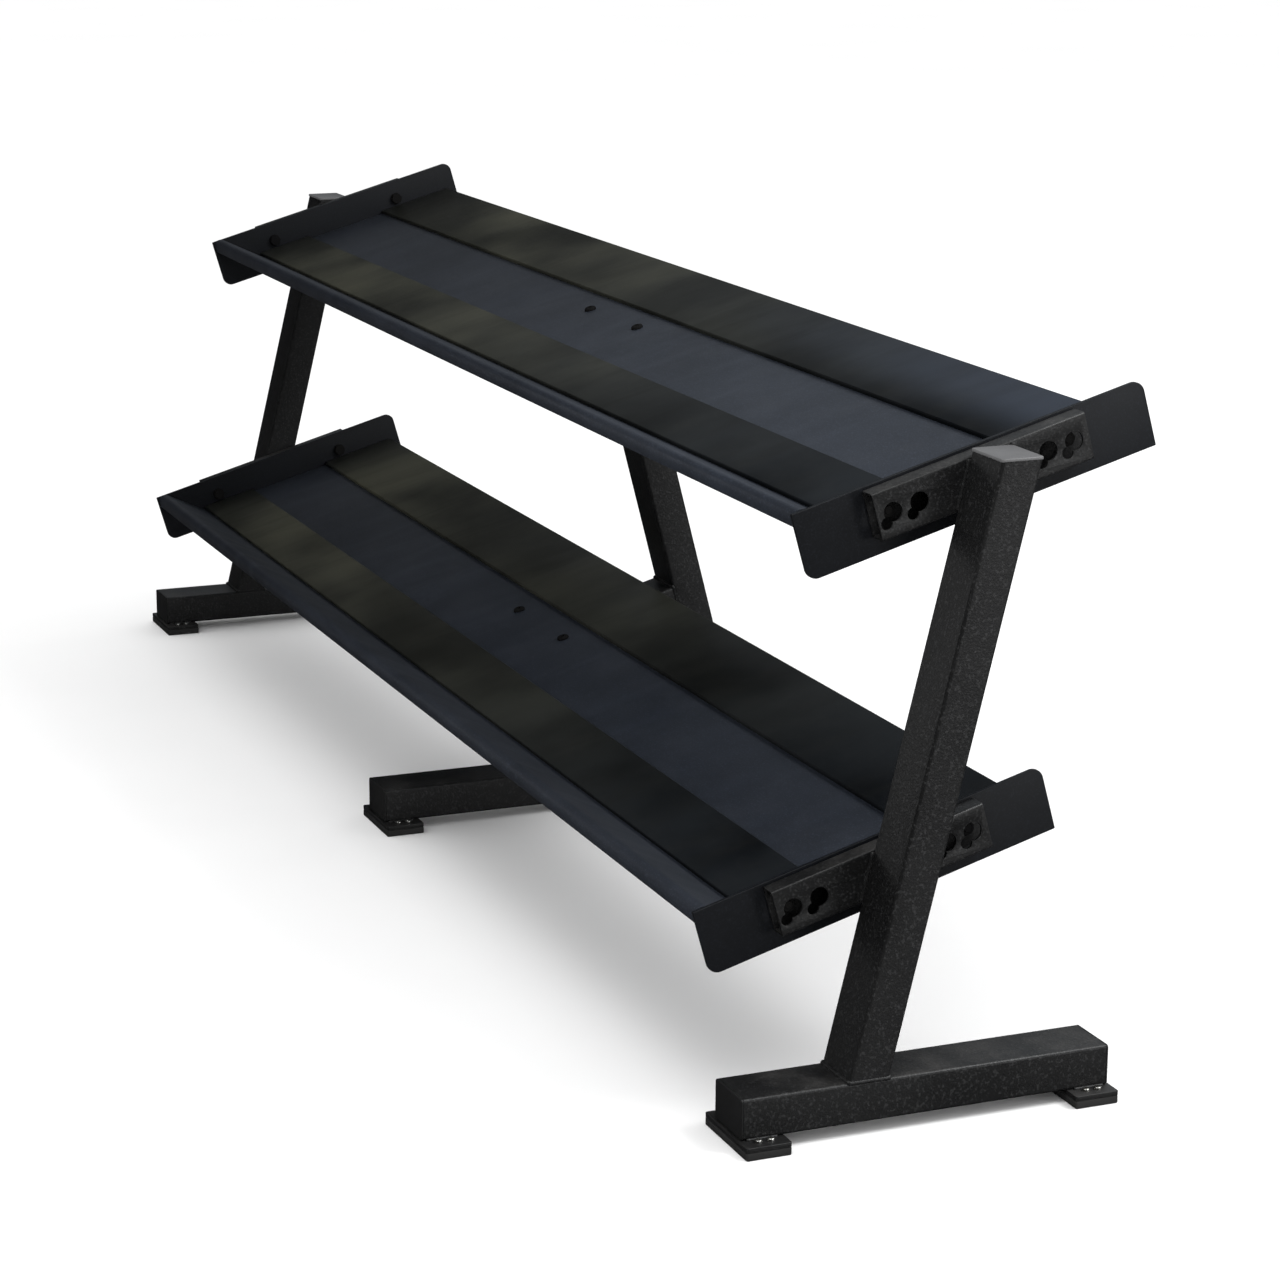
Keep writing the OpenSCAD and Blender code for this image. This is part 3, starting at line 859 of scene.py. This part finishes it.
def end_plate(tier, side):
    """A flat plate that closes a tray: two square corners, two round ones, all rims softened."""
    axes = TRAYS[tier]
    node = f"{tier}_{side}_end_plate"
    low, high = box_in(node, axes)
    centre = (low + high) / 2
    piece = block(node + "_plate", high - low, centre)

    def big_corner(edge):
        spot = middle(edge) - centre
        return along(0)(edge) and spot.y * spot.z > 0

    def small_corner(edge):
        spot = middle(edge) - centre
        return along(0)(edge) and spot.y * spot.z < 0 and min(abs(spot.y), abs(spot.z)) > 0.03

    edit(piece)
    round_off(piece, big_corner, PLATE_CORNER, 12)
    round_off(piece, small_corner, 0.0015, 3)
    round_off(piece, rim(0), 0.0007, 3)
    leave()
    finish(set_down(piece, axes), "end_plate_paint", node)


def bracket(tier, side):
    """A short box bracket with open ends, bolted to the end plate and welded to the upright."""
    axes = TRAYS[tier]
    node = f"{tier}_{side}_bracket"
    low, high = box_in(node, axes)
    size = high - low
    mid = (low + high) / 2
    hand = 1 if side == "right" else -1
    piece = rod(node + "_box", size.x, size.z, size.y, BRACKET_WALL)
    edit(piece)
    pick(piece, "FACE", lambda f: abs(f.normal.z) > 0.9)
    bpy.ops.mesh.inset(thickness=BRACKET_WALL)
    bpy.ops.mesh.select_mode(type="FACE")
    mesh = bmesh.from_edit_mesh(piece.data)
    chosen = sorted((f for f in mesh.faces if abs(f.normal.z) > 0.9), key=lambda f: -f.calc_area())[:2]
    for face in mesh.faces:
        face.select_set(face in chosen)
    bmesh.update_edit_mesh(piece.data)
    bpy.ops.mesh.delete(type="ONLY_FACE")
    pick(piece, "EDGE", lambda e: len(e.link_faces) == 1)
    bpy.ops.mesh.bridge_edge_loops()
    bpy.ops.mesh.select_all(action="SELECT")
    bpy.ops.mesh.normals_make_consistent(inside=False)
    leave()
    set_down(piece, tipped(mid.x, low.y, mid.z))
    outer = high.x if hand > 0 else low.x
    for index, (t, n) in enumerate(bolt_spots(tier, hand)):
        into = KEYHOLE_PITCH if index == 0 else -KEYHOLE_PITCH
        for spot in (t, t + into):
            for radius, back in ((KEYHOLE, 0.0), (KEYHOLE_NECK, KEYHOLE_SLIP)):
                hole = bar("hole", 48, radius, 4 * BRACKET_WALL, -2 * BRACKET_WALL)
                place = Matrix.Translation((outer, spot - back, n - back))
                cut(piece, set_down(hole, place @ Matrix.Rotation(math.pi / 2, 4, "Y")))
    modify(piece, "BEVEL", width=0.0005, segments=2, limit_method="ANGLE", angle_limit=math.radians(50))
    finish(set_down(piece, axes), "frame_paint", node)
    bracket_welds(tier, side, outer, low.z, high.z)


def bracket_welds(tier, side, x, bottom, top):
    """Beads where a bracket meets its upright, along the upright's front and back corners."""
    node = side + "_upright"
    lean = lean_of(node)
    corner = Vector(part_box(node)[0])
    short = 0.004
    beads = []
    for away in (0, tube_depth(side) / math.cos(lean)):
        ends = []
        for n in (bottom + short, top - short):
            spot = meeting(TRAYS[tier], n, lean, Vector((0, corner.y + away, corner.z)))
            ends.append((x, spot.y, spot.z))
        beads.append(weld_bead("weld", *ends, 0.0030))
    welded(f"{tier}_{side}_bracket_weld", beads)


# ---- Fasteners ----

def spots_on(node, tier):
    """The boxes of a fastener node's solids that belong to one tray, in that tray's axes."""
    axes = TRAYS[tier]
    low, high = box_in(tier + "_tray", axes)
    found = []
    for box in solids_of(node, axes):
        mid = (box[0] + box[1]) / 2
        if low.z - 0.1 < mid.z < high.z + 0.1 and low.y - 0.05 < mid.y < high.y + 0.05:
            found.append(box)
    return found


def bolt_spots(tier, hand):
    """Where the end plate bolts sit on one side, as (up the slope, square to it), front one first."""
    spots = []
    for low, high in spots_on("end_plate_bolts", tier):
        if low.x * hand > 0:
            spots.append(((low.y + high.y) / 2, (low.z + high.z) / 2))
    return sorted(spots)


def hexagon(name, height, ends):
    """A hexagon prism on z = 0, its corners chamfered at the given heights as a bolt head's are."""
    radius = SPANNER / 2 / math.cos(math.pi / 6)
    round_radius = radius * 1.001
    piece = bar(name, 6, radius, height)
    turned = bar("turned", 64, round_radius, height)
    edit(turned)
    for z in ends:
        pick(turned, "FACE", lambda f: abs(f.normal.z) > 0.9 and abs(middle(f).z - z) < 1e-5)
        bpy.ops.transform.resize(value=(0.86, 0.86, 1), center_override=(0, 0, z))
    drop = height * 0.18
    for z in ends:
        bpy.ops.mesh.select_all(action="SELECT")
        bpy.ops.mesh.bisect(plane_co=(0, 0, z - drop if z > 0 else drop), plane_no=(0, 0, 1))
    mesh = bmesh.from_edit_mesh(turned.data)
    for vert in mesh.verts:
        if not any(abs(vert.co.z - z) < 1e-6 for z in ends):
            vert.co.xy = vert.co.xy.normalized() * round_radius
    bmesh.update_edit_mesh(turned.data)
    leave()
    cut(piece, turned, "INTERSECT")
    return piece


def thread(piece, length):
    """Turns the last stretch of a shank into ridges."""
    low = min(v.co.z for v in piece.data.vertices)
    half_pitch = THREAD_PITCH / 2
    edit(piece)
    for index in range(1, 2 * int(length / THREAD_PITCH)):
        bpy.ops.mesh.select_all(action="SELECT")
        bpy.ops.mesh.bisect(plane_co=(0, 0, low + index * half_pitch), plane_no=(0, 0, 1))
    pick(piece, "VERT", lambda v: v.co.z < low + length and round((v.co.z - low) / half_pitch) % 2 == 0)
    bpy.ops.transform.resize(value=(0.88, 0.88, 1), center_override=(0, 0, low))
    leave()


def hex_bolt(name, length):
    """A hexagon bolt hanging from z = 0: its head above, its threaded shank below."""
    top = hexagon(name, BOLT_HEAD, [BOLT_HEAD])
    shank = bar("shank", 28, BOLT, length, -length)
    thread(shank, 0.6 * length)
    return joined(name, [top, shank])


def washer(name, outer, thick):
    """A flat ring on z = 0 with softened rims."""
    piece = bar(name, 48, outer, thick)
    edit(piece)
    pick(piece, "FACE", lambda f: abs(f.normal.z) > 0.9)
    bpy.ops.mesh.inset(thickness=outer - BOLT)

    def inner_disc(face):
        return abs(face.normal.z) > 0.9 and middle(face).xy.length < 1e-4 and face.calc_area() > 1e-6

    pick(piece, "FACE", inner_disc)
    bpy.ops.mesh.bridge_edge_loops()
    round_off(piece, rim(2), 0.0003, 2)
    leave()
    return piece


def nut(name, height):
    """A hexagon nut on z = 0, chamfered on both sides, with its hole."""
    piece = hexagon(name, height, [height, 0.0])
    cut(piece, bar("hole", 32, BOLT, 3 * height, -1.5 * height))
    return piece


def round_head(name, sides, radius, height, rounding):
    """A low head on z = 0, its top rounded over."""
    piece = bar(name, sides, radius, height)
    edit(piece)
    round_off(piece, lambda e: rim(2)(e) and middle(e).z > height / 2, rounding * height, 6)
    leave()
    return piece


def socket_bolt(name, head, length):
    """A low domed bolt with a hexagon socket."""
    dome = round_head(name, 48, 0.0089, head, 0.75)
    cut(dome, bar("socket", 6, 0.00346, head, head / 2))
    shank = bar("shank", 28, BOLT, length, -length)
    thread(shank, 0.5 * length)
    return joined(name, [dome, shank])


def first_size(node):
    """Size of a node's first fastener, in the upper tray's axes."""
    low, high = spots_on(node, "upper")[0]
    return high - low


def places_for(node, place):
    """Where each of a node's fasteners goes. place() says it in the tray's axes."""
    places = []
    for tier, axes in TRAYS.items():
        places += [axes @ place(tier, low, high) for low, high in spots_on(node, tier)]
    return places


def put_copies(master, places, slot_name):
    """Copies a fastener to each place. The first copy stands for the CAD node."""
    name = master.name
    for index, place in enumerate(places):
        piece = set_down(copy_of(master, f"{name}_{index + 1}"), place)
        finish(piece, slot_name, *([name + "s"] if index == 0 else []), angle=30)
    discard(master)


def sideways(x, low, high, turn):
    """The place at x in the middle of a box, turned to lie across the tray."""
    spot = Matrix.Translation((x, (low.y + high.y) / 2, (low.z + high.z) / 2))
    return spot @ Matrix.Rotation(turn, 4, "Y")


def end_plate_fasteners():
    """Bolts, washers and nuts that hold the end plates to their brackets."""
    def bolt_place(tier, low, high):
        hand = 1 if low.x > 0 else -1
        inner = low.x if hand > 0 else high.x
        return sideways(inner + hand * BOLT_HEAD, low, high, -hand * math.pi / 2)

    def ring_place(tier, low, high):
        return sideways(low.x, low, high, math.pi / 2)

    bolt = hex_bolt("end_plate_bolt", first_size("end_plate_bolts").x - BOLT_HEAD)
    put_copies(bolt, places_for("end_plate_bolts", bolt_place), "black_bolt")
    size = first_size("end_plate_washers")
    ring = washer("end_plate_washer", size.y / 2, size.x)
    put_copies(ring, places_for("end_plate_washers", ring_place), "black_bolt")
    hexagonal = nut("end_plate_nut", first_size("end_plate_nuts").x)
    put_copies(hexagonal, places_for("end_plate_nuts", ring_place), "black_bolt")


def saddle_fasteners():
    """Socket head bolts through the tray floors, with washers and nuts below."""
    floor_top = {tier: box_in(tier + "_front_liner", axes)[0].z for tier, axes in TRAYS.items()}

    def bolt_place(tier, low, high):
        return over(low, high, floor_top[tier])

    def ring_place(tier, low, high):
        return over(low, high, low.z)

    low, high = spots_on("saddle_bolts", "upper")[0]
    bolt = socket_bolt("saddle_bolt", high.z - floor_top["upper"], floor_top["upper"] - low.z)
    put_copies(bolt, places_for("saddle_bolts", bolt_place), "black_bolt")
    size = first_size("saddle_washers")
    ring = washer("saddle_washer", size.x / 2, size.z)
    put_copies(ring, places_for("saddle_washers", ring_place), "zinc_hardware")
    hexagonal = nut("saddle_nut", first_size("saddle_nuts").z)
    put_copies(hexagonal, places_for("saddle_nuts", ring_place), "zinc_hardware")


def pad_screws():
    """Round-headed screws with a cross recess, four in each foot plate."""
    boxes = solids_of("pad_screws")
    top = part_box("right_front_foot_plate")[1][2]
    low, high = boxes[0]
    head = high.z - top
    radius = (high.x - low.x) / 2
    screw = round_head("pad_screw", 40, radius, head, 0.62)
    for turn in (0, math.pi / 2):
        recess = block("recess", (1.1 * radius, 0.24 * radius, head), (0, 0, head))
        cut(screw, set_down(recess, Matrix.Rotation(turn, 4, "Z")))
    shank = bar("shank", 20, 0.003, top - low.z, low.z - top)
    whole = joined("pad_screw", [screw, shank])
    turn_each = 0.7
    places = []
    for index, (low, high) in enumerate(boxes):
        places.append(over(low, high, top) @ Matrix.Rotation(turn_each * index, 4, "Z"))
    put_copies(whole, places, "zinc_hardware")


# ---- Floor, light and camera ----

def floor():
    """A plain pale floor. It shows darker in glossy reflections, as the floor of a big dim room would."""
    piece = start(bpy.ops.mesh.primitive_plane_add, "studio_floor", size=60)
    tree, shader, place = new_material("studio_floor")
    cloud = noise(tree, place, Scale=1.5, Detail=3.0)
    pale = blend(tree, ramp_between(tree, cloud, 0.3, 0.7), (0.90, 0.90, 0.90), (0.92, 0.92, 0.92))
    seen = add(tree, "ShaderNodeLightPath").outputs
    colour = blend(tree, seen["Is Glossy Ray"], pale, (0.035, 0.035, 0.037))
    feed(tree, shader, Base_Color=colour, Roughness=0.85, Specular_IOR_Level=0.1)
    piece.data.materials.append(FINISHES["studio_floor"])


def soft_light(name, spot, aim, size, power, spread=180):
    """A soft box, not seen itself. A small spread keeps its light near its aim."""
    lamp = bpy.data.lights.new(name, "AREA")
    lamp.shape = "RECTANGLE"
    lamp.size, lamp.size_y = size
    lamp.energy = power
    lamp.spread = math.radians(spread)
    item = bpy.data.objects.new(name, lamp)
    bpy.context.collection.objects.link(item)
    item.location = spot
    item.rotation_euler = (Vector(aim) - Vector(spot)).to_track_quat("-Z", "Y").to_euler()
    item.visible_camera = False


def background(tree, colour, strength):
    return add(tree, "ShaderNodeBackground", Color=colour, Strength=strength).outputs[0]


def either(tree, factor, first, second):
    """A Mix Shader node. Returns its output."""
    item = add(tree, "ShaderNodeMixShader")
    for index, source in enumerate((factor, first, second)):
        plug(tree, item.inputs[index], source)
    return item.outputs[0]


def studio():
    """Soft boxes in a pale room: white behind the rack, bright for the floor, and in reflections
    dim near the ground and brighter overhead."""
    soft_light("back_box", (2.1, 1.9, 2.9), (0.9, 0, 0.4), (1.8, 1.2), 62)
    soft_light("right_box", (5.2, 2.4, 0.9), (1.33, 0, 0.5), (1.8, 1.4), 1.2, 24)
    soft_light("top_box", (1.9, -0.9, 2.6), (1.0, -0.1, 0.3), (1.2, 1.2), 20)
    soft_light("rear_box", (-2.6, 4.6, 0.9), (-0.2, 0, 0.4), (1.8, 1.4), 30)
    soft_light("front_box", (-1.4, -1.9, 0.7), (1.3, -0.1, 0.4), (0.8, 0.8), 0.28, 60)
    world = bpy.data.worlds.new("pale_room")
    bpy.context.scene.world = world
    world.use_nodes = True
    world.cycles.sampling_method = "NONE"
    tree = world.node_tree
    seen = add(tree, "ShaderNodeLightPath").outputs
    way = split(tree, add(tree, "ShaderNodeTexCoord").outputs["Generated"])
    overhead = ramp_between(tree, way["Z"], 0.18, 0.58, 0.025, 0.52)
    overhead = weigh(tree, overhead, ramp_between(tree, way["Y"], -0.10, 0.32, 0.12, 1.1))
    lit = background(tree, (1.0, 1.0, 1.0), 1.15)
    mirrored = background(tree, (0.88, 0.94, 1.0), overhead)
    behind = background(tree, (1.0, 1.0, 1.0), 1.0)
    room = either(tree, seen["Is Glossy Ray"], lit, mirrored)
    room = either(tree, seen["Is Camera Ray"], room, behind)
    feed(tree, tree.nodes["World Output"], Surface=room)


def camera():
    """A long lens at head height, off the right-hand end of the rack."""
    spot = (4.645, -1.7687, 1.5311)
    heading, dip, roll = 67.70, 14.29, 0.32
    lens = bpy.data.cameras.new("camera")
    lens.sensor_width = 36.0
    lens.lens = 93.99
    lens.clip_end = 100
    item = bpy.data.objects.new("camera", lens)
    bpy.context.collection.objects.link(item)
    turn = Matrix.Rotation(math.radians(heading), 4, "Z")
    tip = Matrix.Rotation(math.radians(90 - dip), 4, "X")
    tilt = Matrix.Rotation(math.radians(roll), 4, "Z")
    item.matrix_world = Matrix.Translation(spot) @ turn @ tip @ tilt
    bpy.context.scene.camera = item


# ---- The rack ----

camera()
studio()
floor()
for side in ("left", "middle", "right"):
    foot(side)
for side in ("left", "right"):
    upright(side)
middle_frame()
for tier in ("upper", "lower"):
    tray(tier)
    for row in ("front", "back"):
        liner(tier, row)
    for side in ("left", "right"):
        end_plate(tier, side)
        bracket(tier, side)
end_plate_fasteners()
saddle_fasteners()
pad_screws()

bpy.context.scene.view_settings.view_transform = "Standard"
